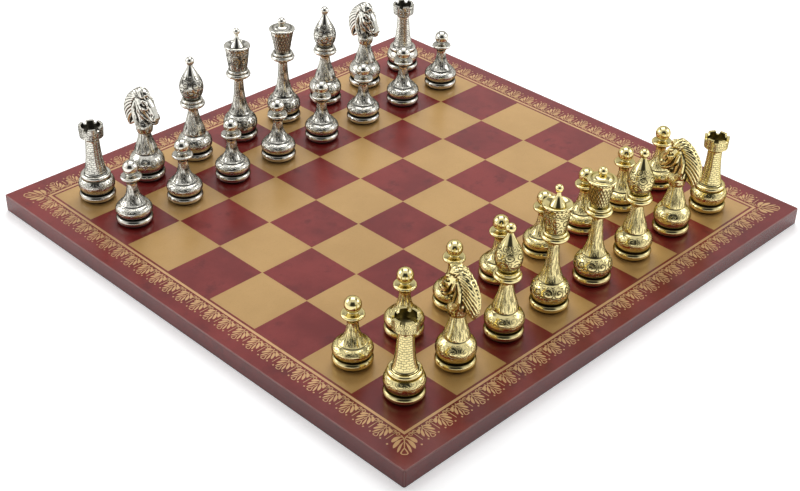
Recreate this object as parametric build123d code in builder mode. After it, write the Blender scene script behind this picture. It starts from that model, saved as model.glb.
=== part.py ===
"""A chess set: thirty-two cast metal men on a leatherette board, every piece its own solid.

Millimetres, +Z up. The origin is the middle of the board's underside. Files a to h run along +X and ranks 1 to 8
along +Y, so the gold men stand at -Y and the silver men at +Y, each in the middle of its square.
"""

import os
from math import cos, radians, sin, sqrt

from build123d import *

os.makedirs("parts", exist_ok=True)

# Layout
FILES = "abcdefgh"
SIDES = ("gold", "silver")
OFFICERS = ("rook", "knight", "bishop", "king", "queen", "bishop", "knight", "rook")
TWINS = ("rook", "knight", "bishop")

# Board
SQUARE = 38.25
BORDER = 22.0
CORE_THICKNESS = 10.0
COVER_THICKNESS = 0.6
CORNER_RADIUS = 1.4
EDGE_RADIUS = 0.6
CORE_GAP = 0.1
HEM = 15.0
BACKING_GAP = 0.3
FOIL = 0.1
CORNER_LINK = 0.15
LINE_GAP = 1.4
LINE_WIDTH = 1.6

# Foot and bulb, the same on every man but for the bulb's height
PAD_THICKNESS = 0.8
PAD_INSET = 1.7
FOOT_RADIUS = 11.2
FOOT_HEIGHT = 4.4
FOOT_ROUND = 1.2
GROOVE_DEPTH = 1.9
GROOVE_HEIGHT = 0.5
BULB_RADIUS = 11.15
SEAM = 0.5

# Ringed collar under a crown or a mitre
COLLAR_RADIUS = 8.0
COLLAR_FLARE = 3.1
COLLAR_RING = 2.9
COLLAR_ROUND = 0.8
LIP_RADIUS = 6.85
LIP_HEIGHT = 2.1

# King and queen, alike up to the collar
ROYAL_BULB_HEIGHT = 11.7
ROYAL_SHOULDER = 7.3
ROYAL_STEM = 23.2
ROYAL_NECK = 3.15
KING_CUP_FOOT = 5.9
QUEEN_CUP_FOOT = 5.0
CROWN_HEIGHT = 15.0
CROWN_TOP = 7.8
RIM_RADIUS = 8.6
RIM_HEIGHT = 2.1
RIM_WALL = 0.9
DISH_DEPTH = 0.8
SPIRE_FOOT = 4.5
SPIRE_HEIGHT = 7.8
SPIRE_NECK = 1.1
SPIRE_BALL = 2.35
DOME_RADIUS = 5.6
DOME_STEP = 0.85
DOME_HEIGHT = 1.3
DOME_NECK = 1.7
DOME_BALL = 2.75

# Bishop
BISHOP_BULB_HEIGHT = 10.5
BISHOP_SHOULDER = 7.4
BISHOP_STEM = 16.4
BISHOP_NECK = 3.3
MITRE_FOOT = 4.7
MITRE_RADIUS = 7.75
MITRE_BELLY = 8.3
MITRE_TAPER = 15.0
MITRE_NECK = 1.5
MITRE_BALL = 2.9

# Knight
KNIGHT_BULB_HEIGHT = 11.7
KNIGHT_SHOULDER = 7.4
KNIGHT_STEM = 13.4
KNIGHT_NECK = 3.8
HEAD_HEIGHT = 30.0
HEAD_REACH = 12.0
HEAD_WIDTH = 9.8
MANE_REACH = 14.4
MANE_WIDTH = 5.4
EAR_LENGTH = 4.2
EAR_RADIUS = 1.3

# Rook
ROOK_BULB_HEIGHT = 9.0
ROOK_SHOULDER = 9.4
STEP_RADIUS = 9.3
STEP_HEIGHT = 3.0
ROOK_SKIRT = 6.8
ROOK_STEM = 21.6
ROOK_NECK = 4.35
TURRET_FLARE = 2.7
TURRET_FOOT = 7.2
TURRET_HEIGHT = 7.0
TURRET_RADIUS = 7.55
TURRET_WALL = 1.6
TURRET_DEPTH = 5.2
NOTCHES = 6
NOTCH_WIDTH = 3.0
NOTCH_DEPTH = 2.1

# Pawn
PAWN_BULB_HEIGHT = 7.0
PAWN_SHOULDER = 8.3
PAWN_STEM = 12.6
PAWN_NECK = 3.05
PAWN_COLLAR = 6.5
PAWN_COLLAR_FLARE = 3.4
PAWN_COLLAR_EDGE = 2.0
PAWN_COLLAR_ROUND = 0.7
PAWN_COLLAR_DISH = 1.1
PAWN_BALL = 4.7
PAWN_BALL_NECK = 2.5

# Sizes that follow from the others
PLAY = len(FILES) * SQUARE
BOARD = PLAY + 2 * BORDER
BOARD_TOP = 2 * COVER_THICKNESS + CORE_THICKNESS
CORE = BOARD - 2 * COVER_THICKNESS - 2 * CORE_GAP
WINDOW = BOARD - 2 * HEM
PAD_RADIUS = FOOT_RADIUS - PAD_INSET
CELLS = range(len(FILES))


def middle(file, rank):
    """The middle of a square, both counted from 0."""
    return ((file + 0.5) * SQUARE - PLAY / 2, (rank + 0.5) * SQUARE - PLAY / 2)


# The board: foil patterns first, because the cover is recessed for them
with BuildSketch(Plane.XY.offset(BOARD_TOP - FOIL)) as check_pattern:
    with Locations(*[middle(f, r) for f in CELLS for r in CELLS if (f + r) % 2]):
        Rectangle(SQUARE + 2 * CORNER_LINK, SQUARE + 2 * CORNER_LINK)
    Rectangle(PLAY, PLAY, mode=Mode.INTERSECT)

with BuildSketch(Plane.XY.offset(BOARD_TOP - FOIL)) as line_pattern:
    Rectangle(PLAY + 2 * LINE_GAP + 2 * LINE_WIDTH, PLAY + 2 * LINE_GAP + 2 * LINE_WIDTH)
    Rectangle(PLAY + 2 * LINE_GAP, PLAY + 2 * LINE_GAP, mode=Mode.SUBTRACT)

with BuildPart() as gold_squares:
    extrude(check_pattern.sketch, amount=FOIL)
gold_squares.part.label = "gold_squares"
export_step(gold_squares.part, "parts/gold_squares.step")

with BuildPart() as gold_line:
    extrude(line_pattern.sketch, amount=FOIL)
gold_line.part.label = "gold_line"
export_step(gold_line.part, "parts/gold_line.step")

# The panel inside the board
with BuildPart() as board_core:
    with BuildSketch(Plane.XY.offset(COVER_THICKNESS)):
        RectangleRounded(CORE, CORE, CORNER_RADIUS - COVER_THICKNESS)
    extrude(amount=CORE_THICKNESS)
board_core.part.label = "board_core"
export_step(board_core.part, "parts/board_core.step")

# Leatherette over the top and sides, folded under as a hem, with a shallow recess for each foil
with BuildPart() as board_cover:
    with BuildSketch():
        RectangleRounded(BOARD, BOARD, CORNER_RADIUS)
    extrude(amount=BOARD_TOP)
    fillet(board_cover.edges().group_by(Axis.Z)[-1] + board_cover.edges().group_by(Axis.Z)[0], EDGE_RADIUS)
    with BuildSketch(Plane.XY.offset(COVER_THICKNESS)):
        RectangleRounded(CORE + 2 * CORE_GAP, CORE + 2 * CORE_GAP, CORNER_RADIUS - COVER_THICKNESS)
    extrude(amount=CORE_THICKNESS, mode=Mode.SUBTRACT)
    with BuildSketch():
        Rectangle(WINDOW, WINDOW)
    extrude(amount=COVER_THICKNESS, mode=Mode.SUBTRACT)
    extrude(check_pattern.sketch, amount=FOIL, mode=Mode.SUBTRACT)
    extrude(line_pattern.sketch, amount=FOIL, mode=Mode.SUBTRACT)
board_cover.part.label = "board_cover"
export_step(board_cover.part, "parts/board_cover.step")

# Backing cloth, flush inside the hem
with BuildPart() as board_backing:
    with BuildSketch():
        Rectangle(WINDOW - 2 * BACKING_GAP, WINDOW - 2 * BACKING_GAP)
    extrude(amount=COVER_THICKNESS)
board_backing.part.label = "board_backing"
export_step(board_backing.part, "parts/board_backing.step")


# How full the lower half of a stem is: 0 draws in to the neck at once, 1 late
HOLLOW_STEM, ROOK_FULLNESS, FULL_STEM = 0.25, 0.43, 0.95


# The men are drawn on the Z axis with the underside of the pad at zero. Each helper below adds its part of the
# open outline, a radius and a height at a time, and returns the height that it reaches.
def foot_and_bulb(bulb_height, shoulder):
    low, high = PAD_THICKNESS, PAD_THICKNESS + FOOT_HEIGHT
    drawn_in, waist = FOOT_RADIUS - FOOT_ROUND, FOOT_RADIUS - GROOVE_DEPTH
    bulb = high + GROOVE_HEIGHT
    Line((0, low), (drawn_in, low))
    ThreePointArc((drawn_in, low), (FOOT_RADIUS, (low + high) / 2), (drawn_in, high))
    Polyline((drawn_in, high), (waist, high), (waist, bulb))
    ThreePointArc((waist, bulb), (BULB_RADIUS, bulb + 0.46 * bulb_height), (shoulder, bulb + bulb_height))
    return bulb + bulb_height


def stem(z, skirt, neck, height, fullness):
    """A fine groove where the stem meets the bulb, then a curve that draws in to the neck, sooner if less full."""
    low, wide = z + 2 * SEAM, skirt - neck
    Polyline((skirt, z), (skirt - SEAM, z + SEAM), (skirt, low))
    Bezier(
        (skirt, low),
        (neck + fullness * wide, low + 0.22 * height),
        (neck + 0.14 * fullness * wide, low + 0.6 * height),
        (neck, low + height),
    )
    return low + height


def collar(z, neck):
    """A rounded ring that flares out of the neck, with a smaller ring on it."""
    ring, drawn_in = z + COLLAR_FLARE, COLLAR_RADIUS - COLLAR_ROUND
    lip, lip_in = ring + COLLAR_RING, LIP_RADIUS - COLLAR_ROUND
    Bezier(
        (neck, z),
        (neck + 0.06 * COLLAR_FLARE, z + 0.6 * COLLAR_FLARE),
        (drawn_in - 0.5 * COLLAR_FLARE, ring - 0.1 * COLLAR_FLARE),
        (drawn_in, ring),
    )
    ThreePointArc((drawn_in, ring), (COLLAR_RADIUS, ring + COLLAR_RING / 2), (drawn_in, lip))
    Line((drawn_in, lip), (lip_in, lip))
    ThreePointArc((lip_in, lip), (LIP_RADIUS, lip + LIP_HEIGHT / 2), (lip_in, lip + LIP_HEIGHT))
    return lip + LIP_HEIGHT


def ball(z, neck, radius):
    """A ball on a neck, closed down the axis."""
    centre = z + sqrt(radius**2 - neck**2)
    ThreePointArc((neck, z), (radius, centre), (0, centre + radius))
    Line((0, centre + radius), (0, PAD_THICKNESS))


def crown(z, foot):
    """The flared cup and its rounded rim, from the collar's top to the rim's inner edge."""
    rim = z + CROWN_HEIGHT
    Line((LIP_RADIUS - COLLAR_ROUND, z), (foot, z))
    Bezier((foot, z), (1.23 * foot, z + 0.5 * CROWN_HEIGHT), (CROWN_TOP, rim))
    ThreePointArc((CROWN_TOP, rim), (RIM_RADIUS, rim + RIM_HEIGHT / 2), (CROWN_TOP, rim + RIM_HEIGHT))
    Line((CROWN_TOP, rim + RIM_HEIGHT), (CROWN_TOP - RIM_WALL, rim + RIM_HEIGHT))
    return rim + RIM_HEIGHT


with BuildPart() as king:
    with BuildSketch(Plane.XZ):
        with BuildLine():
            height = foot_and_bulb(ROYAL_BULB_HEIGHT, ROYAL_SHOULDER)
            height = stem(height, ROYAL_SHOULDER, ROYAL_NECK, ROYAL_STEM, HOLLOW_STEM)
            height = crown(collar(height, ROYAL_NECK), KING_CUP_FOOT)
            dish = height - DISH_DEPTH
            peak = dish + SPIRE_HEIGHT
            Line((CROWN_TOP - RIM_WALL, height), (SPIRE_FOOT, dish))
            Bezier(
                (SPIRE_FOOT, dish),
                (3 * SPIRE_NECK, dish + 0.25 * SPIRE_HEIGHT),
                (1.1 * SPIRE_NECK, dish + 0.6 * SPIRE_HEIGHT),
                (SPIRE_NECK, peak),
            )
            ball(peak, SPIRE_NECK, SPIRE_BALL)
        make_face()
    revolve(axis=Axis.Z)

with BuildPart() as queen:
    with BuildSketch(Plane.XZ):
        with BuildLine():
            height = foot_and_bulb(ROYAL_BULB_HEIGHT, ROYAL_SHOULDER)
            height = stem(height, ROYAL_SHOULDER, ROYAL_NECK, ROYAL_STEM, HOLLOW_STEM)
            height = crown(collar(height, ROYAL_NECK), QUEEN_CUP_FOOT)
            step = height + DOME_STEP
            peak = step + DOME_HEIGHT
            Bezier((CROWN_TOP - RIM_WALL, height), (1.1 * DOME_RADIUS, height), (DOME_RADIUS, step))
            Bezier((DOME_RADIUS, step), (0.77 * DOME_RADIUS, peak), (DOME_NECK, peak))
            ball(peak, DOME_NECK, DOME_BALL)
        make_face()
    revolve(axis=Axis.Z)

with BuildPart() as bishop:
    with BuildSketch(Plane.XZ):
        with BuildLine():
            height = foot_and_bulb(BISHOP_BULB_HEIGHT, BISHOP_SHOULDER)
            height = stem(height, BISHOP_SHOULDER, BISHOP_NECK, BISHOP_STEM, FULL_STEM)
            height = collar(height, BISHOP_NECK)
            belly = height + MITRE_BELLY
            peak = belly + MITRE_TAPER
            Line((LIP_RADIUS - COLLAR_ROUND, height), (MITRE_FOOT, height))
            Bezier(
                (MITRE_FOOT, height),
                (0.92 * MITRE_RADIUS, height + 0.35 * MITRE_BELLY),
                (MITRE_RADIUS, height + 0.7 * MITRE_BELLY),
                (MITRE_RADIUS, belly),
            )
            Bezier(
                (MITRE_RADIUS, belly),
                (MITRE_RADIUS, belly + 0.35 * MITRE_TAPER),
                (2.1 * MITRE_NECK, belly + 0.66 * MITRE_TAPER),
                (MITRE_NECK, peak),
            )
            ball(peak, MITRE_NECK, MITRE_BALL)
        make_face()
    revolve(axis=Axis.Z)

with BuildPart() as pawn:
    with BuildSketch(Plane.XZ):
        with BuildLine():
            height = foot_and_bulb(PAWN_BULB_HEIGHT, PAWN_SHOULDER)
            height = stem(height, PAWN_SHOULDER, PAWN_NECK, PAWN_STEM, HOLLOW_STEM)
            edge = height + PAWN_COLLAR_FLARE
            rim = edge + PAWN_COLLAR_EDGE
            neck = rim + PAWN_COLLAR_DISH
            drawn_in = PAWN_COLLAR - PAWN_COLLAR_ROUND
            Bezier((PAWN_NECK, height), (1.1 * PAWN_NECK, edge - 0.3 * PAWN_COLLAR_FLARE), (drawn_in, edge))
            ThreePointArc((drawn_in, edge), (PAWN_COLLAR, (edge + rim) / 2), (drawn_in, rim))
            Bezier((drawn_in, rim), (PAWN_BALL_NECK, rim + 0.13 * PAWN_COLLAR_DISH), (PAWN_BALL_NECK, neck))
            ball(neck, PAWN_BALL_NECK, PAWN_BALL)
        make_face()
    revolve(axis=Axis.Z)

with BuildPart() as rook:
    with BuildSketch(Plane.XZ):
        with BuildLine():
            height = foot_and_bulb(ROOK_BULB_HEIGHT, ROOK_SHOULDER)
            step = height + STEP_HEIGHT
            Line((ROOK_SHOULDER, height), (STEP_RADIUS - FOOT_ROUND, height))
            ThreePointArc(
                (STEP_RADIUS - FOOT_ROUND, height), (STEP_RADIUS, height + STEP_HEIGHT / 2), (ROOK_SKIRT, step)
            )
            height = stem(step, ROOK_SKIRT, ROOK_NECK, ROOK_STEM, ROOK_FULLNESS)
            foot = height + TURRET_FLARE
            top = foot + TURRET_HEIGHT
            inside = TURRET_RADIUS - TURRET_WALL
            Bezier((ROOK_NECK, height), (1.07 * ROOK_NECK, foot - 0.35 * TURRET_FLARE), (TURRET_FOOT, foot))
            Polyline((TURRET_FOOT, foot), (TURRET_RADIUS, top), (inside, top), (inside, top - TURRET_DEPTH))
            Polyline((inside, top - TURRET_DEPTH), (0, top - TURRET_DEPTH), (0, PAD_THICKNESS))
        make_face()
    revolve(axis=Axis.Z)
    # Round-bottomed notches between the battlements
    turns = [radians(360 * (n + 0.5) / NOTCHES) for n in range(NOTCHES)]
    outward = [Plane(origin=(0, 0, top), x_dir=(0, 0, 1), z_dir=(cos(turn), sin(turn), 0)) for turn in turns]
    with BuildSketch(*outward):
        SlotOverall(2 * NOTCH_DEPTH, NOTCH_WIDTH)
    extrude(amount=2 * TURRET_RADIUS, mode=Mode.SUBTRACT)


# The knight's neck and face, section by section: forward, up, half depth and half width as shares of the head's
# reach, height, reach and half width, and the lean in degrees
neck_sections = (
    (0.00, -0.02, 0.30, 0.80, 0),
    (0.02, 0.05, 0.43, 1.06, 0),
    (0.03, 0.13, 0.47, 1.15, 0),
    (-0.02, 0.25, 0.46, 1.08, -9),
    (-0.13, 0.43, 0.46, 1.00, -8),
    (-0.15, 0.62, 0.46, 0.94, 6),
    (-0.03, 0.79, 0.40, 0.82, 30),
    (0.20, 0.89, 0.28, 0.64, 58),
    (0.38, 0.90, 0.14, 0.40, 88),
)
face_sections = (
    (-0.10, 0.83, 0.24, 0.60, 147),
    (0.06, 0.74, 0.40, 0.92, 147),
    (0.27, 0.62, 0.46, 1.00, 146),
    (0.46, 0.51, 0.38, 0.84, 146),
    (0.63, 0.40, 0.30, 0.70, 146),
    (0.75, 0.34, 0.24, 0.62, 146),
    (0.80, 0.31, 0.13, 0.40, 146),
)
# Back (negative) and up along the mane's outer and inner edges, as shares of its reach and of the head's height
mane_crest = (
    (0.38, 0.90),
    (0.20, 0.97),
    (-0.08, 1.00),
    (-0.44, 0.89),
    (-0.80, 0.68),
    (-1.00, 0.43),
    (-0.95, 0.23),
    (-0.78, 0.07),
)
mane_under = ((-0.60, 0.13), (-0.46, 0.21), (-0.36, 0.40), (-0.34, 0.60), (-0.18, 0.78), (0.12, 0.84))


def head_sections(sections, base):
    """Oval sections of the knight's head, each square to its own lean: forward, up, depth, width and lean."""
    for forward, up, depth, width, lean in sections:
        place = (0, forward * HEAD_REACH, base + up * HEAD_HEIGHT)
        facing = (0, sin(radians(lean)), cos(radians(lean)))
        with BuildSketch(Plane(origin=place, x_dir=(1, 0, 0), z_dir=facing)) as oval:
            Ellipse(width * HEAD_WIDTH / 2, depth * HEAD_REACH)
        yield oval.sketch


with BuildPart() as knight:
    with BuildSketch(Plane.XZ):
        with BuildLine():
            height = foot_and_bulb(KNIGHT_BULB_HEIGHT, KNIGHT_SHOULDER)
            height = stem(height, KNIGHT_SHOULDER, KNIGHT_NECK, KNIGHT_STEM, FULL_STEM)
            Polyline((KNIGHT_NECK, height), (0, height), (0, PAD_THICKNESS))
        make_face()
    revolve(axis=Axis.Z)
    # The arched neck from the stem's top, then the head from the poll to the muzzle
    loft(list(head_sections(neck_sections, height)))
    loft(list(head_sections(face_sections, height)))
    # The mane stands along the crest and hangs to a point behind the stem
    with BuildSketch(Plane.YZ):
        with BuildLine():
            crest = [(back * MANE_REACH, height + up * HEAD_HEIGHT) for back, up in mane_crest]
            under = [(back * MANE_REACH, height + up * HEAD_HEIGHT) for back, up in mane_under]
            Spline(*crest)
            Polyline(crest[-1], *under, crest[0])
        make_face()
    extrude(amount=MANE_WIDTH / 2, both=True)
    # Ears laid back beside the crest
    for side in (-1, 1):
        place = (side * MANE_WIDTH / 2, 0.12 * HEAD_REACH, height + 0.86 * HEAD_HEIGHT)
        with Locations(Location(place, (12, 0, 0))):
            Cone(EAR_RADIUS, EAR_RADIUS / 4, EAR_LENGTH)

kinds = {"king": king, "queen": queen, "bishop": bishop, "knight": knight, "rook": rook, "pawn": pawn}

with BuildPart() as pad:
    Cylinder(PAD_RADIUS, PAD_THICKNESS, align=(Align.CENTER, Align.CENTER, Align.MIN))

# Every man on its square. The sides face each other, so the silver men are turned about.
# Three knights stand a little askew, as set down by hand.
knight_turns = {"gold_knight_g": 8, "silver_knight_b": 13, "silver_knight_g": 4}
for side, name in enumerate(SIDES):
    facing = 180 * side
    for file, kind in enumerate(OFFICERS):
        x, y = middle(file, 7 * side)
        label = f"{name}_{kind}_{FILES[file]}" if kind in TWINS else f"{name}_{kind}"
        with BuildPart() as casting:
            with Locations(Location((x, y, BOARD_TOP), (0, 0, facing + knight_turns.get(label, 0)))):
                add(kinds[kind].part)
        casting.part.label = label
        export_step(casting.part, f"parts/{label}.step")
        with BuildPart() as felt:
            with Locations((x, y, BOARD_TOP)):
                add(pad.part)
        felt.part.label = f"{label}_pad"
        export_step(felt.part, f"parts/{label}_pad.step")
    for file in CELLS:
        x, y = middle(file, 1 + 5 * side)
        place = Location((x, y, BOARD_TOP), (0, 0, facing))
        label = f"{name}_pawn_{FILES[file]}"
        # A pawn and its pad are two solids in one node
        both = Compound(label=label, children=[pawn.part.moved(place), pad.part.moved(place)])
        export_step(both, f"parts/{label}.step")
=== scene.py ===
"""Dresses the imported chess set: a leatherette board with a gold foil border, and gold and antique silver men.

Sizes below are in millimetres and are turned into metres where meshes are made. The outlines of the men
repeat the solids' own sizes, so each dressed man sits exactly where its solid is.
"""

from math import atan2, cos, hypot, pi, radians, sin, sqrt

import bmesh
import bpy
import numpy as np
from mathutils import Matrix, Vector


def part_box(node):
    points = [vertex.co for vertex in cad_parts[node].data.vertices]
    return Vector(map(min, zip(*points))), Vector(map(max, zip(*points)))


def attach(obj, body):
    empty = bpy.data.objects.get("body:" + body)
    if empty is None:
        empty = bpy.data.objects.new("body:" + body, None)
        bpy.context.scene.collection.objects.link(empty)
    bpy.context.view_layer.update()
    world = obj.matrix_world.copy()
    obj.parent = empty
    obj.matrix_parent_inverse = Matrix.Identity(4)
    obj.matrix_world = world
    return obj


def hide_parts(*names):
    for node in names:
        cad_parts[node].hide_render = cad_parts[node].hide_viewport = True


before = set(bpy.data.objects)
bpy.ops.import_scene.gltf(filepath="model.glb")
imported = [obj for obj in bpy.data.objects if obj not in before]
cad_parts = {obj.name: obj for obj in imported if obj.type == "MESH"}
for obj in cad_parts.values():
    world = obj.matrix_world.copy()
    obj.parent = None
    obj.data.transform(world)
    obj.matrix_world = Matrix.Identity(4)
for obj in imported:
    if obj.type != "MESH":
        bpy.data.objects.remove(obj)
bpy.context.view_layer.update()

import openvdb
from mathutils import Matrix, Vector

MM = 0.001

# Board sizes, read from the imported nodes
squares_low, squares_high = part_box("gold_squares")
cover_low, cover_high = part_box("board_cover")
PLAY = (squares_high[0] - squares_low[0]) / MM
SQUARE = PLAY / 8
BOARD = (cover_high[0] - cover_low[0]) / MM
BOARD_TOP = cover_high[2] / MM

# The men, as in the solids
PAD_THICKNESS = 0.8
PAD_RADIUS = 9.5
FOOT_RADIUS = 11.2
FOOT_HEIGHT = 4.4
FOOT_ROUND = 1.2
GROOVE_DEPTH = 1.9
GROOVE_HEIGHT = 0.5
BULB_RADIUS = 11.15
SEAM = 0.5
COLLAR_RADIUS = 8.0
COLLAR_FLARE = 3.1
COLLAR_RING = 2.9
COLLAR_ROUND = 0.8
LIP_RADIUS = 6.85
LIP_HEIGHT = 2.1
KING_CUP_FOOT = 5.9
QUEEN_CUP_FOOT = 5.0
CROWN_HEIGHT = 15.0
CROWN_TOP = 7.8
RIM_RADIUS = 8.6
RIM_HEIGHT = 2.1
RIM_WALL = 0.9
HOLLOW_STEM, ROOK_FULLNESS, FULL_STEM = 0.25, 0.43, 0.95
FILES = "abcdefgh"
OFFICERS = ("rook", "knight", "bishop", "king", "queen", "bishop", "knight", "rook")
TWINS = ("rook", "knight", "bishop")


# Node trees
class Graph:
    """A node tree, with short calls for the nodes used here."""

    def __init__(self, tree):
        self.nodes, self.links = tree.nodes, tree.links

    def put(self, socket, value):
        """Links an output to a socket, or sets the socket's value."""
        if isinstance(value, bpy.types.NodeSocket):
            self.links.new(value, socket)
        elif isinstance(value, (tuple, list)) and len(value) == 3 and socket.type == "RGBA":
            socket.default_value = (*value, 1.0)
        else:
            socket.default_value = value

    def node(self, kind, settings=None, **inputs):
        made = self.nodes.new(f"ShaderNode{kind}")
        for key, value in (settings or {}).items():
            setattr(made, key, value)
        for key, value in inputs.items():
            self.put(made.inputs[key.replace("_", " ")], value)
        return made

    def math(self, operation, *values, clamp=False):
        made = self.nodes.new("ShaderNodeMath")
        made.operation, made.use_clamp = operation, clamp
        for i, value in enumerate(values):
            self.put(made.inputs[i], value)
        return made.outputs[0]

    def plus(self, a, b, clamp=False):
        return self.math("ADD", a, b, clamp=clamp)

    def minus(self, a, b):
        return self.math("SUBTRACT", a, b)

    def times(self, a, b):
        return self.math("MULTIPLY", a, b)

    def length(self, x, y):
        return self.math("SQRT", self.plus(self.times(x, x), self.times(y, y)))

    def step(self, value, low, high):
        """0 below low, 1 above high and smooth between, or the other way round where low is the larger."""
        smoothstep = {"interpolation_type": "SMOOTHSTEP"}
        return self.node("MapRange", smoothstep, Value=value, From_Min=low, From_Max=high).outputs["Result"]

    def mix(self, factor, a, b):
        made = self.node("Mix", {"data_type": "RGBA"})
        self.put(made.inputs[0], factor)
        self.put(made.inputs[6], a)
        self.put(made.inputs[7], b)
        return made.outputs[2]

    def blend(self, factor, a, b):
        """A number between a and b."""
        made = self.node("Mix", {"data_type": "FLOAT"})
        self.put(made.inputs[0], factor)
        self.put(made.inputs[2], a)
        self.put(made.inputs[3], b)
        return made.outputs[0]

    def noise(self, where, scale, detail=3.0, roughness=0.55):
        made = self.node("TexNoise", Vector=where, Scale=scale, Detail=detail, Roughness=roughness)
        return made.outputs["Factor"] if "Factor" in made.outputs else made.outputs["Fac"]

    def pebbles(self, where):
        """The fine grain of leather: 0 in the creases and 1 on the pebbles."""
        made = self.node("TexVoronoi", {"feature": "DISTANCE_TO_EDGE"}, Vector=where, Scale=1500.0)
        return self.step(made.outputs["Distance"], 0.0, 0.35)

    def attribute(self, name):
        return self.node("Attribute", {"attribute_name": name}).outputs["Fac"]

    def bump(self, height, distance, strength=1.0):
        return self.node("Bump", Height=height, Distance=distance, Strength=strength).outputs["Normal"]


class Material(Graph):
    """The node tree of a new material, with its one shader."""

    def __init__(self, name):
        self.material = bpy.data.materials.new(name)
        self.material.use_nodes = True
        super().__init__(self.material.node_tree)
        self.shader = self.nodes["Principled BSDF"]

    def spot(self):
        """Where on the piece, in metres in the piece's own frame."""
        return self.node("TexCoord").outputs["Object"]

    def finish(self, **inputs):
        for key, value in inputs.items():
            self.put(self.shader.inputs[key.replace("_", " ")], value)
        return self.material


def engraved_metal(name, bright, edge, deep, patina_and_shade, grime, roughness, depth):
    """Plated metal with scrolls, strokes or stones cut where the mesh says so, patina in the cuts, and painted
    shade where the mesh marks it.
    """
    g = Material(name)
    spot = g.spot()
    uv = g.node("UVMap", {"uv_map": "turned"}).outputs["UV"]
    # The pattern wavers a little, as hand work does
    waver = g.node("TexNoise", Vector=spot, Scale=420.0, Detail=1.0)
    wavy = g.node("VectorMath", {"operation": "MULTIPLY_ADD"})
    for socket, value in zip(wavy.inputs, (waver.outputs["Color"], (0.22, 0.22, 0.0), uv)):
        g.put(socket, value)
    parts = g.node("SeparateXYZ", Vector=wavy.outputs[0])
    across, along = parts.outputs[0], parts.outputs[1]
    # Scrolls, one to a cell, in rows that are offset by half a cell and curl alternately
    coil_turns, coil_reach = 3.2, 0.52
    row = g.math("FLOOR", along)
    offset = g.plus(across, g.times(g.math("FLOORED_MODULO", row, 2.0), 0.5))
    column = g.math("FLOOR", offset)
    x = g.minus(g.minus(offset, column), 0.5)
    y = g.minus(g.minus(along, row), 0.5)
    odd = g.math("FLOORED_MODULO", g.plus(column, row), 2.0)
    hand = g.minus(g.times(odd, 2.0), 1.0)
    reach = g.length(x, y)
    turn = g.math("DIVIDE", g.math("ARCTAN2", y, g.times(x, hand)), 2 * pi)
    coil = g.math("FRACT", g.minus(g.times(reach, coil_turns), turn))
    scroll = g.step(g.math("ABSOLUTE", g.minus(coil, 0.5)), 0.24, 0.08)
    scroll = g.times(scroll, g.step(reach, coil_reach, coil_reach - 0.08))
    # A small leaf in each corner between four scrolls
    leaf_reach = 0.13
    corner = g.length(*(g.minus(g.math("ABSOLUTE", side), 0.5) for side in (x, y)))
    leaf = g.step(g.math("ABSOLUTE", g.minus(corner, leaf_reach)), 0.06, 0.02)
    cut = g.math("MAXIMUM", scroll, leaf)
    # Courses of small stones on the rooks' stems
    stone = {"Brick_Width": 0.62, "Row_Height": 0.34, "Mortar_Size": 0.05, "Mortar_Smooth": 0.3}
    stones = g.node("TexBrick", {"offset": 0.5}, Vector=wavy.outputs[0], Scale=1.0, **stone)
    cut = g.blend(g.attribute("brick"), cut, stones.outputs["Fac"])
    # Fine upright strokes on the other stems
    strokes = g.node("CombineXYZ", X=g.times(across, 5.0), Y=g.times(along, 1.1))
    stroke = g.step(g.noise(strokes.outputs[0], 1.0, 2.0), 0.49, 0.60)
    cut = g.blend(g.attribute("hatch"), cut, stroke)
    cut = g.times(cut, g.attribute("engrave"))
    # Patina lies in the cuts, and as a thin clouded film between them. The mesh's marks add patina in hollows
    # and painted shade round the foot of the bulb.
    cloud = g.noise(spot, 260.0, 4.0)
    hammer = g.noise(spot, 900.0, 2.0)
    dark = g.times(cut, g.blend(cloud, 0.55, 1.0))
    dark = g.math("MAXIMUM", dark, g.attribute("patina_and_shade"))
    film = g.times(g.times(g.attribute("engrave"), grime), g.step(cloud, 0.42, 0.72))
    dark = g.plus(dark, film, clamp=True)
    dark = g.times(dark, patina_and_shade)
    tone = g.mix(g.step(g.noise(spot, 120.0), 0.3, 0.7), bright, tuple(0.9 * c for c in bright))
    rough = g.blend(dark, g.blend(hammer, roughness, roughness + 0.05), 0.36)
    dents = g.times(hammer, g.times(g.attribute("engrave"), 0.2))
    return g.finish(
        Base_Color=g.mix(dark, tone, deep),
        Metallic=1.0,
        Specular_Tint=edge,
        Roughness=rough,
        Normal=g.bump(g.minus(dents, cut), depth * MM),
    )


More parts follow.
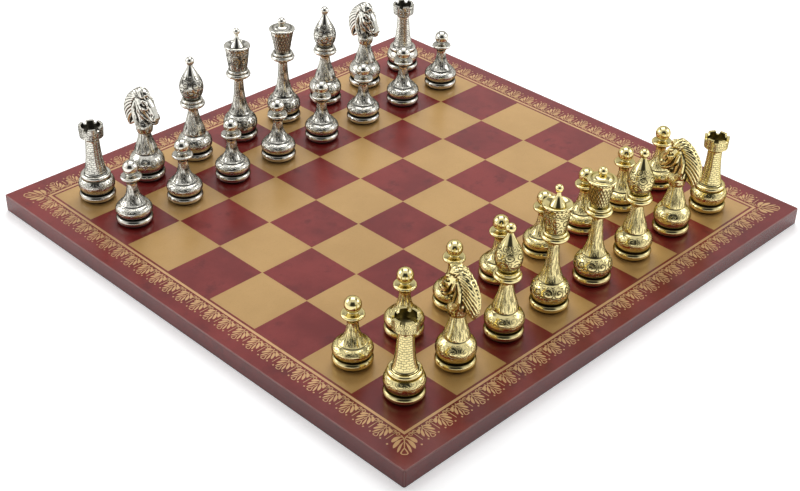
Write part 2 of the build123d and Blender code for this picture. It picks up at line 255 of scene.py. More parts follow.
def leatherette():
    """Burgundy leatherette: clouded colour, a fine pebbled grain and a soft gloss."""
    g = Material("leatherette")
    spot = g.spot()
    cloud = g.noise(spot, 26.0, 5.0, 0.62)
    vein = g.noise(spot, 75.0, 6.0, 0.7)
    pebble = g.pebbles(spot)
    tone = g.mix(g.step(cloud, 0.34, 0.68), (0.15, 0.010, 0.009), (0.225, 0.021, 0.018))
    tone = g.mix(g.step(vein, 0.52, 0.72), tone, (0.11, 0.008, 0.008))
    tone = g.mix(g.times(g.minus(1.0, pebble), 0.25), tone, (0.09, 0.008, 0.008))
    # Painted highlight along the edges of the top and down the corners, and painted shadow along the bottom of
    # the sides
    highlight_from, highlight_to, shadow_from, shadow_to = 0.9 * MM, 0.3 * MM, 1.0 * MM, 0.3 * MM
    half, height = BOARD / 2 * MM, BOARD_TOP * MM
    parts = g.node("SeparateXYZ", Vector=spot)
    near = [g.step(g.math("ABSOLUTE", parts.outputs[i]), half - highlight_from, half - highlight_to) for i in (0, 1)]
    top = g.step(parts.outputs[2], height - highlight_from, height - highlight_to)
    edge_highlight = g.math("MAXIMUM", g.times(g.math("MAXIMUM", *near), top), g.times(*near))
    tone = g.mix(g.times(edge_highlight, g.blend(vein, 0.3, 0.9)), tone, (0.36, 0.19, 0.17))
    tone = g.mix(g.step(parts.outputs[2], shadow_from, shadow_to), tone, (0.012, 0.006, 0.006))
    grain = g.plus(pebble, g.times(vein, 0.8))
    return g.finish(
        Base_Color=tone,
        Roughness=g.blend(cloud, 0.17, 0.27),
        Specular_IOR_Level=0.5,
        Normal=g.bump(grain, 0.02 * MM, 0.5),
    )


def gold_foil(name, bright, dull, grain, metallic, gloss):
    """Stamped gold foil: satin, slightly clouded, with the leather's grain showing through."""
    g = Material(name)
    spot = g.spot()
    cloud = g.noise(spot, 22.0, 4.0, 0.6)
    speck = g.noise(spot, 1400.0, 2.0)
    tone = g.mix(g.step(cloud, 0.3, 0.7), dull, bright)
    tone = g.mix(g.times(g.step(speck, 0.5, 0.75), 0.3), tone, tuple(0.72 * c for c in dull))
    return g.finish(
        Base_Color=tone,
        Metallic=metallic,
        Roughness=g.blend(cloud, gloss, gloss + 0.08),
        Specular_IOR_Level=0.6,
        Normal=g.bump(g.plus(g.pebbles(spot), speck), grain * MM, 0.5),
    )


def felt(name, tone):
    """Short felted cloth."""
    g = Material(name)
    spot = g.spot()
    fibre = g.noise(spot, 2600.0, 3.0)
    cloud = g.noise(spot, 90.0, 3.0)
    colour = g.mix(fibre, tuple(0.5 * c for c in tone), tuple(1.4 * c for c in tone))
    colour = g.mix(g.times(cloud, 0.4), colour, tone)
    return g.finish(Base_Color=colour, Roughness=0.95, Normal=g.bump(fibre, 0.2 * MM, 0.8))


def fibreboard():
    """The panel inside the board: pressed wood fibre."""
    g = Material("fibreboard")
    fibre = g.noise(g.spot(), 700.0, 5.0, 0.7)
    colour = g.mix(fibre, (0.33, 0.22, 0.12), (0.5, 0.36, 0.22))
    return g.finish(Base_Color=colour, Roughness=0.85, Normal=g.bump(fibre, 0.1 * MM, 0.5))


GOLD = engraved_metal(
    "gold_plate",
    bright=(0.92, 0.79, 0.39),
    edge=(0.24, 0.21, 0.12),
    deep=(0.030, 0.020, 0.006),
    patina_and_shade=0.94,
    grime=0.30,
    roughness=0.06,
    depth=0.18,
)
SILVER = engraved_metal(
    "antique_silver",
    bright=(0.80, 0.78, 0.70),
    edge=(0.14, 0.135, 0.12),
    deep=(0.016, 0.014, 0.010),
    patina_and_shade=0.96,
    grime=0.85,
    roughness=0.07,
    depth=0.20,
)
LEATHER = leatherette()
FOIL = gold_foil(
    "gold_foil_squares", (0.50, 0.30, 0.105), (0.44, 0.26, 0.088), grain=0.012, metallic=0.12, gloss=0.19
)
LINE_FOIL = gold_foil(
    "gold_foil_trim", (0.60, 0.37, 0.17), (0.52, 0.31, 0.135), grain=0.02, metallic=0.35, gloss=0.36
)
BACKING = felt("backing_felt", (0.02, 0.012, 0.012))
PAD_FELT = felt("pad_felt", (0.012, 0.012, 0.012))


# Outlines
def line(a, b, steps=1):
    return [(a[0] + (b[0] - a[0]) * i / steps, a[1] + (b[1] - a[1]) * i / steps) for i in range(steps + 1)]


def arc(a, b, c, steps=10):
    """Points on the circle through a, b and c."""
    ax, ay, bx, by, cx, cy = *a, *b, *c
    d = 2 * (ax * (by - cy) + bx * (cy - ay) + cx * (ay - by))
    sa, sb, sc = ax * ax + ay * ay, bx * bx + by * by, cx * cx + cy * cy
    ox = (sa * (by - cy) + sb * (cy - ay) + sc * (ay - by)) / d
    oy = (sa * (cx - bx) + sb * (ax - cx) + sc * (bx - ax)) / d
    first, last = atan2(ay - oy, ax - ox), atan2(cy - oy, cx - ox)
    while last < first:
        last += 2 * pi
    reach = hypot(ax - ox, ay - oy)
    turns = [first + (last - first) * i / steps for i in range(steps + 1)]
    return [(ox + reach * cos(t), oy + reach * sin(t)) for t in turns]


def bezier(*controls, steps=18):
    """Points on a Bezier curve of any degree."""
    made = []
    for i in range(steps + 1):
        t, row = i / steps, [np.array(c, float) for c in controls]
        while len(row) > 1:
            row = [p + (q - p) * t for p, q in zip(row, row[1:])]
        made.append(tuple(row[0]))
    return made


FADE = 0.06


class Outline:
    """Half of a turned man's outline, from the axis at its foot to the axis at its top."""

    def __init__(self):
        self.points, self.marks, self.cells, self.rows, self.zones = [], [], [], [], []

    def run(
        self, points, engrave=0.0, brick=0.0, hatch=0.0, patina_and_shade=0.0,
        cells=12, stretch=1.0, zone="", window=(0.12, 0.92),
    ):
        """Adds a stretch. Its engraving fades in and out at the two ends of the window along it."""
        new = points if not self.points else points[1:]
        mean = sum(p[0] for p in points) / len(points)
        size = max(2 * pi * mean / cells * stretch, 0.1)
        steps = [hypot(q[0] - p[0], q[1] - p[1]) for p, q in zip(points, points[1:])]
        lengths = np.concatenate([[0], np.cumsum(steps)])
        for point, far in zip(points[-len(new):], lengths[-len(new):]):
            share = far / max(lengths[-1], 1e-6)
            inside = min(share - window[0], window[1] - share)
            fade = min(max(inside / FADE + 0.5, 0), 1)
            self.points.append(point)
            self.marks.append((engrave * fade, brick, hatch, patina_and_shade(share) if callable(patina_and_shade) else patina_and_shade))
            self.cells.append(cells)
            self.rows.append(far / size)
            self.zones.append((zone, share))


def foot_and_bulb(o, bulb_height, shoulder, engrave=0.42):
    low, high = PAD_THICKNESS, PAD_THICKNESS + FOOT_HEIGHT
    drawn_in, waist = FOOT_RADIUS - FOOT_ROUND, FOOT_RADIUS - GROOVE_DEPTH
    bulb = high + GROOVE_HEIGHT
    o.run(line((0, low), (drawn_in, low), 2))
    ring = arc((drawn_in, low), (FOOT_RADIUS, (low + high) / 2), (drawn_in, high), 14)
    # Painted reflection: the inner top of the ring is darkened as if it mirrored the bulb's shaded underside
    o.run(ring, patina_and_shade=lambda share: max(0.0, (share - 0.78) / 0.22))
    # Patina and painted shade in the groove between the foot and the bulb
    o.run(line((drawn_in, high), (waist, high)), patina_and_shade=1.0)
    o.run(line((waist, high), (waist, bulb)), patina_and_shade=1.0)
    belly = arc((waist, bulb), (BULB_RADIUS, bulb + 0.46 * bulb_height), (shoulder, bulb + bulb_height), 26)
    # Painted shade on the lowest part of the bulb, fading out upward
    shade = lambda share: max(0.0, 1 - share / 0.13)
    o.run(belly, engrave=engrave, patina_and_shade=shade, cells=10, window=(0.24, 0.93))
    return bulb + bulb_height


def stem(o, z, skirt, neck, height, fullness, brick=0.0):
    low, wide = z + 2 * SEAM, skirt - neck
    o.run(line((skirt, z), (skirt - SEAM, z + SEAM)), patina_and_shade=1.0)
    o.run(line((skirt - SEAM, z + SEAM), (skirt, low)), patina_and_shade=1.0)
    curve = bezier(
        (skirt, low),
        (neck + fullness * wide, low + 0.22 * height),
        (neck + 0.14 * fullness * wide, low + 0.6 * height),
        (neck, low + height),
        steps=26,
    )
    pattern = {"brick": brick, "hatch": 1 - brick, "cells": 8, "stretch": 1.0 if brick else 1.9}
    o.run(curve, engrave=0.8 - 0.2 * brick, window=(0.05, 0.97), **pattern)
    return low + height


def collar(o, z, neck):
    ring, drawn_in = z + COLLAR_FLARE, COLLAR_RADIUS - COLLAR_ROUND
    lip, lip_in = ring + COLLAR_RING, LIP_RADIUS - COLLAR_ROUND
    under, out = (neck + 0.2, z + 0.6 * COLLAR_FLARE), (drawn_in - 1.55, ring - 0.3)
    o.run(bezier((neck, z), under, out, (drawn_in, ring), steps=10))
    o.run(arc((drawn_in, ring), (COLLAR_RADIUS, ring + COLLAR_RING / 2), (drawn_in, lip), 12))
    o.run(line((drawn_in, lip), (lip_in, lip)), patina_and_shade=1.0)
    o.run(arc((lip_in, lip), (LIP_RADIUS, lip + LIP_HEIGHT / 2), (lip_in, lip + LIP_HEIGHT), 10))
    return lip + LIP_HEIGHT


def ball(o, z, neck, radius):
    centre = z + sqrt(radius**2 - neck**2)
    o.run(arc((neck, z), (radius, centre), (0, centre + radius), 18))


def crown(o, z, foot, engrave):
    rim = z + CROWN_HEIGHT
    top = rim + RIM_HEIGHT
    o.run(line((LIP_RADIUS - COLLAR_ROUND, z), (foot, z)), patina_and_shade=1.0)
    cup = bezier((foot, z), (1.23 * foot, z + 0.5 * CROWN_HEIGHT), (CROWN_TOP, rim), steps=44)
    o.run(cup, engrave=engrave, cells=8, zone="cup", window=(0.06, 0.8))
    o.run(arc((CROWN_TOP, rim), (RIM_RADIUS, rim + RIM_HEIGHT / 2), (CROWN_TOP, top), 12), zone="rim")
    o.run(line((CROWN_TOP, top), (CROWN_TOP - RIM_WALL, top)))
    return top


def royal_stand(o):
    """The foot, bulb, stem and collar that the king and the queen share."""
    bulb, skirt, neck, rise = 11.7, 7.3, 3.15, 23.2
    height = foot_and_bulb(o, bulb, skirt, engrave=1.0)
    return collar(o, stem(o, height, skirt, neck, rise, HOLLOW_STEM), neck)


def king():
    o = Outline()
    height = crown(o, royal_stand(o), KING_CUP_FOOT, 1.0)
    dish, spire, foot, neck, tip = height - 0.8, 7.8, 4.5, 1.1, 2.35
    o.run(line((CROWN_TOP - RIM_WALL, height), (foot, dish), 4))
    low, high = (3 * neck, dish + 0.25 * spire), (1.1 * neck, dish + 0.6 * spire)
    o.run(bezier((foot, dish), low, high, (neck, dish + spire), steps=20))
    ball(o, dish + spire, neck, tip)
    return o


def queen():
    o = Outline()
    height = crown(o, royal_stand(o), QUEEN_CUP_FOOT, 0.0)
    step, peak, dome, neck, tip = height + 0.85, height + 2.15, 5.6, 1.7, 2.75
    o.run(bezier((CROWN_TOP - RIM_WALL, height), (1.1 * dome, height), (dome, step), steps=6), patina_and_shade=0.5)
    o.run(bezier((dome, step), (0.77 * dome, peak), (neck, peak), steps=12))
    ball(o, peak, neck, tip)
    return o


def bishop():
    o = Outline()
    bulb, skirt, waist, tall = 10.5, 7.4, 3.3, 16.4
    height = foot_and_bulb(o, bulb, skirt)
    height = collar(o, stem(o, height, skirt, waist, tall, FULL_STEM), waist)
    foot, wide, neck, rise, taper, tip = 4.7, 7.75, 1.5, 8.3, 15.0, 2.9
    belly, peak = height + rise, height + rise + taper
    o.run(line((LIP_RADIUS - COLLAR_ROUND, height), (foot, height)), patina_and_shade=1.0)
    swell = (0.92 * wide, height + 0.35 * rise), (wide, height + 0.7 * rise)
    draw_in = (wide, belly + 0.35 * taper), (2.1 * neck, belly + 0.66 * taper)
    low = bezier((foot, height), *swell, (wide, belly), steps=16)
    high = bezier((wide, belly), *draw_in, (neck, peak), steps=26)
    o.run(low + high[1:], engrave=1.0, cells=7, window=(0.06, 0.72))
    ball(o, peak, neck, tip)
    return o


def pawn():
    o = Outline()
    bulb, skirt, waist, tall = 7.0, 8.3, 3.05, 12.6
    height = stem(o, foot_and_bulb(o, bulb, skirt), skirt, waist, tall, HOLLOW_STEM)
    edge, rim, wide, drawn_in = height + 3.4, height + 5.4, 6.5, 5.8
    neck, throat, head = 2.5, rim + 1.1, 4.7
    o.run(bezier((waist, height), (3.36, edge - 1.0), (drawn_in, edge), steps=12))
    o.run(arc((drawn_in, edge), (wide, (edge + rim) / 2), (drawn_in, rim), 12))
    o.run(bezier((drawn_in, rim), (neck, rim + 0.15), (neck, throat), steps=10), patina_and_shade=0.25)
    ball(o, throat, neck, head)
    return o


# The rook's turret: sizes that its notches need too
TURRET_FOOT_HEIGHT = 43.0
TURRET_TOP = 50.0
NOTCHES = 6
NOTCH_WIDTH = 3.0
NOTCH_DEPTH = 2.1
TURRET_RADIUS = 7.55
TURRET_FOOT = 7.2
TURRET_WALL = 1.6
TURRET_HOLLOW = 5.2


def rook():
    o = Outline()
    bulb, shoulder, drawn_in, ring, ring_height = 9.0, 9.4, 8.1, 9.3, 3.0
    skirt, neck, tall = 6.8, 4.35, 21.6
    height = foot_and_bulb(o, bulb, shoulder)
    step = height + ring_height
    o.run(line((shoulder, height), (drawn_in, height)), patina_and_shade=1.0)
    o.run(arc((drawn_in, height), (ring, height + ring_height / 2), (skirt, step), 14))
    height = stem(o, step, skirt, neck, tall, ROOK_FULLNESS, brick=1.0)
    foot, top, inside = TURRET_FOOT_HEIGHT, TURRET_TOP, TURRET_RADIUS - TURRET_WALL
    floor = top - TURRET_HOLLOW
    flare = bezier((neck, height), (neck + 0.3, foot - 0.95), (TURRET_FOOT, foot), steps=14)
    wall = line((TURRET_FOOT, foot), (TURRET_RADIUS, top), 14)
    o.run(flare, engrave=0.6, cells=10)
    o.run(wall, engrave=0.8, cells=14, zone="wall", window=(0.05, 1.2))
    o.run(line((TURRET_RADIUS, top), (inside, top), 3), zone="wall")
    o.run(line((inside, top), (inside, floor), 14), patina_and_shade=0.65, zone="wall")
    o.run(line((inside, floor), (0, floor), 4), patina_and_shade=0.8)
    return o


def knight_base():
    o = Outline()
    bulb, skirt, neck, tall = 11.7, 7.4, 3.8, 13.4
    height = stem(o, foot_and_bulb(o, bulb, skirt), skirt, neck, tall, FULL_STEM)
    o.run(line((neck, height), (0, height)), patina_and_shade=0.5)
    return o


# Turned meshes
def smooth(value, low, high):
    t = np.clip((value - low) / (high - low), 0, 1)
    return t * t * (3 - 2 * t)


def bead_row(count, depth):
    """Beads round the lower half of a rim."""
    def relief(turn, share):
        gap = (1 - np.abs(np.sin(count * turn / 2))) ** 1.3
        cut = gap * smooth(share, 0.68, 0.5)
        return -depth * cut, np.clip(1.3 * cut, 0, 1)
    return relief


def arches(count, depth):
    """A row of small arches under the rim, over two thin grooves."""
    def relief(turn, share):
        across = (count * turn / (2 * pi)) % 1.0 - 0.5
        up = np.clip((share - 0.84) / 0.1, 0, None)
        bow = smooth(np.abs(np.hypot(across / 0.42, up) - 0.8), 0.3, 0.1) * smooth(share, 0.79, 0.83)
        grooves = smooth(np.abs(share - 0.80), 0.012, 0.004) + smooth(np.abs(share - 0.03), 0.012, 0.004)
        cut = np.clip(bow + grooves, 0, 1)
        return -depth * cut, cut
    return relief


def lattice(count, slope, depth, boss):
    """Crossed grooves that leave lozenges, each with a boss in its middle."""
    def relief(turn, share):
        a = (count * turn / (2 * pi) + slope * share) % 1.0
        b = (count * turn / (2 * pi) - slope * share) % 1.0
        near = np.minimum(np.minimum(a, 1 - a), np.minimum(b, 1 - b))
        edge = smooth(share, 0.02, 0.08) * smooth(share, 0.93, 0.87)
        groove = smooth(near, 0.16, 0.05) * edge
        knob = smooth(np.hypot(a - 0.5, b - 0.5), 0.30, 0.12) * edge
        ring = smooth(np.abs(np.hypot(a - 0.5, b - 0.5) - 0.33), 0.07, 0.02) * edge
        return boss * knob - depth * groove, np.clip(groove + 0.8 * ring, 0, 1)
    return relief


def turned(o, turns, reliefs):
    """Vertices, faces, marks and face-corner UVs of an outline turned about Z, in millimetres."""
    points, marks = np.array(o.points), np.array(o.marks)
    n, m = len(points), len(turns)
    radius = np.repeat(points[:, :1], m, axis=1)
    height = np.repeat(points[:, 1:], m, axis=1)
    values = np.repeat(marks[:, None, :], m, axis=1)
    share = np.array([s for _, s in o.zones])
    for zone, relief in reliefs.items():
        rows = np.array([z == zone for z, _ in o.zones])
        if zone == "wall":
            height[rows] = relief(turns[None, :], height[rows])
        else:
            out, dark = relief(turns[None, :], share[rows][:, None])
            radius[rows] += out
            values[rows, :, 3] = np.maximum(values[rows, :, 3], dark)
    verts = np.stack([radius * np.cos(turns), radius * np.sin(turns), height], axis=2).reshape(-1, 3)
    i, j = np.meshgrid(np.arange(n - 1), np.arange(m), indexing="ij")
    after = (j + 1) % m
    faces = np.stack([i * m + j, i * m + after, (i + 1) * m + after, (i + 1) * m + j], axis=2).reshape(-1, 4)
    cells, rows_at = np.array(o.cells, float), np.array(o.rows)
    ends = np.concatenate([turns, [turns[0] + 2 * pi]]) / (2 * pi)
    corner_i = np.stack([i, i, i + 1, i + 1], axis=2).reshape(-1, 4)
    corner_j = np.stack([j, j + 1, j + 1, j], axis=2).reshape(-1, 4)
    # A face takes its cells from its upper ring, so that a pattern never stretches between two stretches
    upper = np.repeat(cells[1:], m)[:, None]
    uv = np.stack([ends[corner_j] * upper, rows_at[corner_i]], axis=2)
    return verts, faces, values.reshape(-1, 4), uv.reshape(-1, 2)


def build(name, verts, faces, values, uv, sharp=42.0):
    """A mesh in metres with engraving marks, UVs and smooth shading. Points on the axis are welded."""
    mesh = bpy.data.meshes.new(name)
    mesh.from_pydata((verts * MM).tolist(), [], faces.tolist())
    layer = mesh.uv_layers.new(name="turned")
    layer.data.foreach_set("uv", uv.astype(np.float32).ravel())
    for k, mark in enumerate(("engrave", "brick", "hatch", "patina_and_shade")):
        held = mesh.attributes.new(mark, "FLOAT", "POINT")
        held.data.foreach_set("value", values[:, k].astype(np.float32))
    shape = bmesh.new()
    shape.from_mesh(mesh)
    bmesh.ops.remove_doubles(shape, verts=[v for v in shape.verts if hypot(v.co.x, v.co.y) < 1e-7], dist=1e-7)
    bmesh.ops.dissolve_degenerate(shape, dist=1e-8, edges=shape.edges)
    shape.to_mesh(mesh)
    shape.free()
    mesh.shade_smooth()
    mesh.set_sharp_from_angle(angle=radians(sharp))
    return mesh


def notched(turn, height):
    """Lowers the rook's wall into round-bottomed notches."""
    pitch = 2 * pi / NOTCHES
    away = np.abs((turn + pi / NOTCHES + pitch / 2) % pitch - pitch / 2) * TURRET_RADIUS
    half = NOTCH_WIDTH / 2
    bed = NOTCH_DEPTH - half + np.sqrt(np.clip(half**2 - away**2, 0, None))
    low = np.where(away < half, bed, 0.0)
    low = low * smooth(away, half + 0.05, half - 0.05)
    share = (height - TURRET_FOOT_HEIGHT) / (TURRET_TOP - TURRET_FOOT_HEIGHT)
    return height - np.clip(share, 0, 1) * low


def even(count):
    return np.arange(count) * 2 * pi / count


def rook_turns():
    """Even turns, with more at the edges of the notches."""
    middle = (np.arange(NOTCHES) + 0.5) * 2 * pi / NOTCHES
    half = NOTCH_WIDTH / 2 / TURRET_RADIUS
    offsets = np.concatenate([np.linspace(-half, half, 11), [-half - 0.008, half + 0.008]])
    extra = (middle[:, None] + offsets[None, :]).ravel() % (2 * pi)
    plain = even(120)
    clear = np.array([np.min(np.abs(extra - t)) > 0.012 for t in plain])
    return np.sort(np.concatenate([plain[clear], extra]))


# The knight's head, as a field that is negative inside: f is forward, z is up from the stem's top, and side
# is the distance from the middle plane. A section of the neck or the face is (f, z, half depth, half width).
HEAD_STEP = 0.22
HEAD_BASE = 31.8
NECK = (
    (0.0, -0.6, 3.7, 3.9),
    (0.2, 1.5, 5.1, 5.0),
    (0.3, 3.9, 5.4, 5.3),
    (-1.6, 7.8, 4.5, 4.8),
    (-2.4, 13.0, 4.9, 4.5),
    (-1.9, 18.8, 5.3, 4.3),
    (-0.4, 23.5, 4.7, 3.8),
    (2.4, 26.4, 3.3, 3.0),
    (4.4, 26.8, 1.6, 1.9),
)
FACE = (
    (-1.2, 24.8, 2.8, 2.9),
    (0.7, 22.2, 4.7, 4.4),
    (3.2, 18.6, 5.2, 4.6),
    (5.5, 15.3, 4.3, 3.6),
    (7.6, 12.1, 3.4, 3.1),
    (8.9, 10.3, 2.9, 3.0),
    (9.5, 9.4, 1.8, 2.2),
)
MANE_CREST = (
    (5.4, 27.0), (2.9, 29.1), (-1.2, 30.0), (-6.3, 26.8),
    (-11.4, 20.5), (-14.2, 13.0), (-13.6, 7.0), (-11.2, 2.2),
)
MANE_ROOT = (
    (3.0, 25.8), (0.5, 26.1), (-2.0, 25.3), (-4.6, 22.4),
    (-5.9, 18.2), (-6.2, 13.4), (-6.0, 9.2), (-6.8, 5.4),
)
WEBS = 28
LOCKS = 11
LOCK_RADII = (1.3, 1.5, 1.5, 1.4, 1.05, 0.35)
LOCK_SIDES = (2.6, 2.2, 1.9, 1.6, 1.2, 0.7)
HOLLOW_REACH = 4


def along(points, share):
    """A point at a share of the way along a smooth line through the points."""
    points = np.array(points, float)
    place = np.clip(share, 0, 1) * (len(points) - 1)
    i = int(min(place, len(points) - 2))
    t = place - i
    a, b = points[i], points[i + 1]
    before = points[max(i - 1, 0)]
    beyond = points[min(i + 2, len(points) - 1)]
    leave, reach = (b - before) / 2, (beyond - a) / 2
    first = (2 * t**3 - 3 * t**2 + 1) * a + (t**3 - 2 * t**2 + t) * leave
    return first + (3 * t**2 - 2 * t**3) * b + (t**3 - t**2) * reach


def joined(a, b, k):
    """Two fields as one, blended over a distance of k."""
    h = np.clip(k - np.abs(a - b), 0, None) / k
    return np.minimum(a, b) - h * h * k / 4


def cut_by(a, b, k):
    """A field with another cut out of it."""
    return -joined(-a, b, k)


def around(values, reach):
    """The mean of a field over a cube of so many steps each way."""
    for axis in range(3):
        margin = [(reach, reach) if k == axis else (0, 0) for k in range(3)]
        total = np.cumsum(np.pad(values, margin, mode="edge"), axis=axis)
        total = np.concatenate([np.zeros_like(np.take(total, [0], axis)), total], axis=axis)
        span, window = np.arange(values.shape[axis]), 2 * reach + 1
        values = (np.take(total, span + window, axis) - np.take(total, span, axis)) / window
    return values


def knight_head():
    """Vertices, faces, patina, strands and UVs of the head, in millimetres about the man's axis."""
    f = np.arange(-15.6, 14.2, HEAD_STEP, dtype=np.float32)[:, None, None]
    side = np.arange(0, 7.2, HEAD_STEP, dtype=np.float32)[None, :, None]
    z = np.arange(-2.0, 33.4, HEAD_STEP, dtype=np.float32)[None, None, :]

    def swept(sections):
        """Ovals swept from section to section."""
        whole = None
        for (f0, z0, a0, b0), (f1, z1, a1, b1) in zip(sections, sections[1:]):
            df, dz = f1 - f0, z1 - z0
            t = np.clip(((f - f0) * df + (z - z0) * dz) / (df * df + dz * dz), 0, 1)
            deep, wide = a0 + t * (a1 - a0), b0 + t * (b1 - b0)
            off = np.hypot(f - f0 - t * df, z - z0 - t * dz) / deep
            part = (np.hypot(off, side / wide) - 1) * np.minimum(deep, wide)
            whole = part if whole is None else joined(whole, part, 0.5)
        return whole

    def rod(sections, flat=1.0):
        """A tapered rod through (f, z, radius, side) sections, flat times as wide as it is deep."""
        whole = None
        for (f0, z0, r0, s0), (f1, z1, r1, s1) in zip(sections, sections[1:]):
            df, dz, ds = f1 - f0, z1 - z0, s1 - s0
            run = (f - f0) * df + (z - z0) * dz + (side - s0) * ds
            t = np.clip(run / (df * df + dz * dz + ds * ds), 0, 1)
            off = np.hypot(f - f0 - t * df, z - z0 - t * dz)
            part = np.hypot(off, (side - s0 - t * ds) / flat) - (r0 + t * (r1 - r0))
            whole = part if whole is None else np.minimum(whole, part)
        return whole

    head = joined(swept(NECK), swept(FACE), 1.0)

    def add(blend, *sections, flat=1.0):
        nonlocal head
        head = joined(head, rod(sections, flat), blend)

    def carve(blend, *sections, flat=1.0):
        nonlocal head
        head = cut_by(head, rod(sections, flat), blend)

    # Rounded off at the stem's top, with a thin wall in the hollow under the jaw
    head = cut_by(head, z + 0.5, 1.6)
    carve(0.4, (3.0, 11.4, 0.8, 0.0), (4.0, 9.4, 1.5, 0.0), (6.0, 8.0, 1.0, 0.0), flat=9.0)
    add(0.3, (2.6, 8.6, 2.4, 0.0), (7.6, 9.2, 1.6, 0.0), flat=0.5)
    # Cheek, the two ridges along the jaw, and the hollow between them
    cheek = np.sqrt(((f - 2.6) / 4.0) ** 2 + ((z - 18.7) / 4.4) ** 2 + ((side - 2.8) / 2.5) ** 2)
    head = joined(head, (cheek - 1) * 2.5, 1.0)
    add(0.5, (-1.1, 21.7, 0.8, 3.9), (0.2, 17.0, 0.9, 4.4), (2.7, 13.7, 0.8, 3.9), (6.3, 10.3, 0.4, 2.6))
    carve(0.3, (0.8, 20.4, 0.3, 4.8), (2.3, 16.4, 0.8, 5.1), (4.4, 13.6, 0.9, 4.3), (7.4, 11.0, 0.5, 3.2))
    # The smooth band of the neck, from behind the cheek round to the chest, with a groove on each side
    band_top = (-2.6, 22.0, 0.6, 3.5), (-4.3, 17.0, 1.1, 3.8), (-4.0, 11.5, 1.2, 4.1)
    add(0.6, *band_top, (-2.0, 6.8, 1.1, 4.4), (0.4, 4.0, 0.6, 4.6))
    carve(0.3, (-1.9, 20.0, 0.3, 4.5), (-2.2, 15.0, 0.8, 4.8), (-0.8, 10.4, 0.9, 4.8), (1.4, 7.2, 0.4, 4.9))
    carve(0.2, (-4.2, 23.0, 0.3, 3.2), (-5.9, 18.0, 0.6, 3.5), (-6.0, 12.0, 0.6, 3.6), (-4.6, 7.0, 0.3, 3.6))
    # Brow, eye and the bone below it
    carve(0.3, (2.9, 21.1, 0.7, 4.5), (4.9, 20.9, 1.4, 4.2), (6.3, 19.4, 0.7, 3.9))
    add(0.12, (4.3, 21.2, 1.0, 3.2), (4.5, 21.0, 1.0, 3.2))
    add(0.2, (1.8, 22.6, 0.5, 3.5), (3.8, 23.5, 0.8, 3.5), (5.7, 22.6, 0.75, 3.2), (6.7, 21.0, 0.4, 3.1))
    add(0.3, (3.3, 19.2, 0.4, 4.4), (5.0, 19.0, 0.6, 4.1), (7.1, 16.6, 0.3, 3.4))
    carve(0.3, (6.2, 17.4, 0.5, 4.0), (8.2, 14.4, 0.9, 3.6))
    # The flat bone of the nose, the nostrils, the lips and the chin
    nose = (5.6, 23.2, 1.2, 0.0), (8.1, 19.4, 1.3, 0.0), (10.3, 14.6, 1.1, 0.0), (11.1, 12.4, 1.1, 0.0)
    add(1.0, *nose, flat=1.9)
    add(0.5, (10.3, 13.0, 1.2, 1.8), (11.0, 11.5, 1.0, 1.8))
    carve(0.2, (10.7, 12.3, 0.62, 3.05), (10.2, 13.0, 0.45, 3.05))
    carve(0.2, (12.2, 9.8, 0.45, 2.7), (9.8, 10.2, 0.4, 2.7), (8.0, 11.4, 0.25, 2.7), flat=3.0)
    add(0.4, (8.8, 8.6, 1.1, 0.7), (10.1, 8.6, 0.9, 0.7))
    # Ears laid back, and locks of the forelock
    add(0.25, (1.2, 24.0, 1.0, 2.9), (-0.4, 26.0, 1.15, 3.4), (-2.4, 27.8, 0.35, 3.6))
    carve(0.15, (1.1, 24.8, 0.25, 3.8), (-0.4, 26.4, 0.55, 4.4), (-1.8, 27.8, 0.2, 4.2))
    forelock = (1.0, 27.8, 6.4, 24.4, 0.5), (0.4, 27.4, 5.2, 23.6, 1.8), (2.2, 28.3, 7.1, 25.4, 0.0)
    for f0, z0, f1, z1, apart in forelock:
        bow = 0.5 * (f0 + f1) + 0.8, 0.5 * (z0 + z1) + 0.8
        add(0.12, (f0, z0, 0.8, apart), (*bow, 0.9, apart + 0.3), (f1, z1, 0.3, apart + 0.2))
    # The mane: a thin web between its root and its crest, with locks that sweep back and down on both sides
    mane = None
    for share in np.linspace(0, 1, WEBS):
        root, crest = along(MANE_ROOT, share), along(MANE_CREST, share)
        web = rod([(*root, 1.3, 0.0), (*(root + 0.92 * (crest - root)), 0.8, 0.0)])
        mane = web if mane is None else joined(mane, web, 0.8)
    for share in np.linspace(0, 1, LOCKS):
        start, end = along(MANE_ROOT, 0.72 * share), along(MANE_CREST, 0.28 + 0.72 * share)
        bow = 0.5 * (start + end) + 0.22 * np.array([end[1] - start[1], start[0] - end[0]])
        curve = bezier(start, bow, end, steps=len(LOCK_RADII) - 1)
        lock = [(*point, *size) for point, *size in zip(curve, LOCK_RADII, LOCK_SIDES)]
        mane = joined(mane, rod(lock), 0.12)
    head = joined(head, mane, 0.2)
    head = np.concatenate([head[:, :0:-1], head], axis=1)
    grid = openvdb.FloatGrid(3.0)
    grid.copyFromArray(np.ascontiguousarray(np.clip(head / HEAD_STEP, -3, 3), dtype=np.float32))
    points, quads = grid.convertToQuads(isovalue=0.0)
    corner = np.array([-side.max(), f.min(), z.min() + HEAD_BASE])
    verts = points[:, [1, 0, 2]] * HEAD_STEP + corner
    # Where the field is higher than its surroundings the surface is hollow, and patina stays there
    clipped = np.clip(head, -4, 4)
    hollow = clipped - around(clipped, HOLLOW_REACH)
    spots = np.clip(np.rint(points).astype(int), 0, np.array(head.shape) - 1)
    sunk = hollow[spots[:, 0], spots[:, 1], spots[:, 2]]
    in_mane = smooth(verts[:, 1], -3.0, -6.0)
    dark = smooth(sunk + 0.035 * in_mane, -0.01, 0.075)
    # Fine strands down the neck and the chest, below the jaw
    up = verts[:, 2] - HEAD_BASE
    strands = 0.5 * smooth(up, 0.4, 1.6) * smooth(up, 12.0, 8.0) * (1 - in_mane)
    uv = np.stack([(verts[:, 0] + 0.5 * verts[:, 1]) / 5.0, up / 6.0], axis=1)
    return verts, quads, dark, strands, uv


